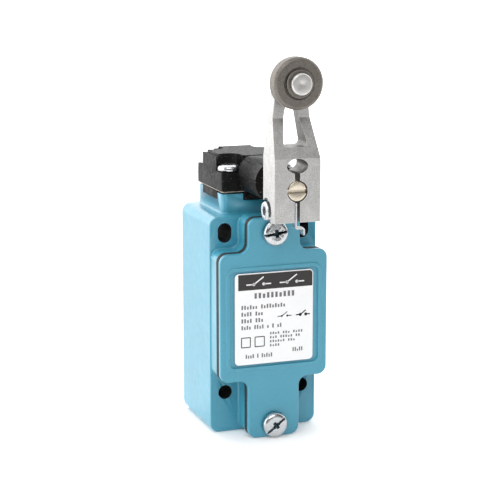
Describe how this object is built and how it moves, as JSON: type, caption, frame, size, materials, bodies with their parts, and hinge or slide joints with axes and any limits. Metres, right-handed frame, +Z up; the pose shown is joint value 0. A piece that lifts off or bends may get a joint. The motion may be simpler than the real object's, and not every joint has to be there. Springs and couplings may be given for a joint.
{
  "type": "limit switch",
  "caption": "Metal limit switch with a side rotary head, a clamped roller lever and an enclosed double-break contact block.",
  "frame": {"origin": "centre of the four mounting holes, on the housing's flat back face", "axes": "+Z up along the body towards the head, +Y out of the back face, +X to the right seen from the front"},
  "size_m": [0.0414, 0.0713, 0.1409],
  "materials": {
    "blue_paint": "satin paint on die-cast alloy",
    "black_plastic": "moulded, satin",
    "black_rubber": "moulded rubber",
    "label_white": "printed label",
    "zinc": "bright zinc plating",
    "cast_alloy": "die-cast, light grey",
    "sintered_steel": "dull sintered steel",
    "pale_brass": "pale brass",
    "bronze": "bearing bronze",
    "gasket_card": "pale gasket sheet",
    "grey_moulding": "glass-filled moulding"
  },
  "bodies": {
    "housing": {"housing": "blue_paint", "cover_gasket": "black_rubber", "cover": "blue_paint", "nameplate": "label_white", "cover_screw_top": "zinc", "cover_screw_bottom": "zinc", "earth_screw": "zinc", "head_gasket": "gasket_card", "head": "black_plastic", "head_screw_front_left": "zinc", "head_screw_front_right": "zinc", "head_screw_back_left": "zinc", "head_screw_back_right": "zinc", "shaft_bush": "bronze", "shaft_seal": "black_rubber", "plunger_guide": "grey_moulding", "plunger_spring": "zinc", "switch_base": "grey_moulding", "switch_lid": "grey_moulding", "fixed_contact_upper_left": "pale_brass", "fixed_contact_upper_right": "pale_brass", "fixed_contact_lower_left": "pale_brass", "fixed_contact_lower_right": "pale_brass", "terminal_screw_upper_left": "zinc", "terminal_screw_upper_right": "zinc", "terminal_screw_lower_left": "zinc", "terminal_screw_lower_right": "zinc", "switch_screw_left": "zinc", "switch_screw_right": "zinc", "contact_spring": "zinc"},
    "lever": {"shaft": "pale_brass", "shaft_ring": "zinc", "cam": "cast_alloy", "lever_arm": "cast_alloy", "lever_clamp_screw": "zinc", "lever_clip": "zinc", "roller_pin": "zinc", "roller_spacer": "zinc", "roller_washer": "zinc"},
    "roller": {"roller": "sintered_steel"},
    "plunger": {"follower_plunger": "grey_moulding"},
    "contact_carrier": {"switch_button": "black_plastic", "contact_bridge_upper": "pale_brass", "contact_bridge_lower": "pale_brass"}
  },
  "joints": [
    {"name": "lever_shaft", "type": "hinge", "parent": "housing", "child": "lever", "pos_m": [0, -0.056, 0.0497], "axis": [0, 1, 0], "range_deg": [-75, 75], "stiffness_Nm_per_rad": 0.25},
    {"name": "roller_spin", "type": "hinge", "parent": "lever", "child": "roller", "pos_m": [0, -0.065, 0.0867], "axis": [0, 1, 0], "continuous": true},
    {"name": "plunger_slide", "type": "slide", "parent": "housing", "child": "plunger", "axis": [0, 0, -1], "range_m": [0, 0.0021], "stiffness_N_per_m": 800, "springref_m": -0.002, "deforming": ["plunger_spring"]},
    {"name": "contact_slide", "type": "slide", "parent": "housing", "child": "contact_carrier", "axis": [0, 0, -1], "range_m": [0, 0.0021], "stiffness_N_per_m": 300, "springref_m": -0.002, "deforming": ["contact_spring"]}
  ],
  "couplings": [
    {"joint": "contact_slide", "follows": "plunger_slide", "ratio": 1}
  ]
}
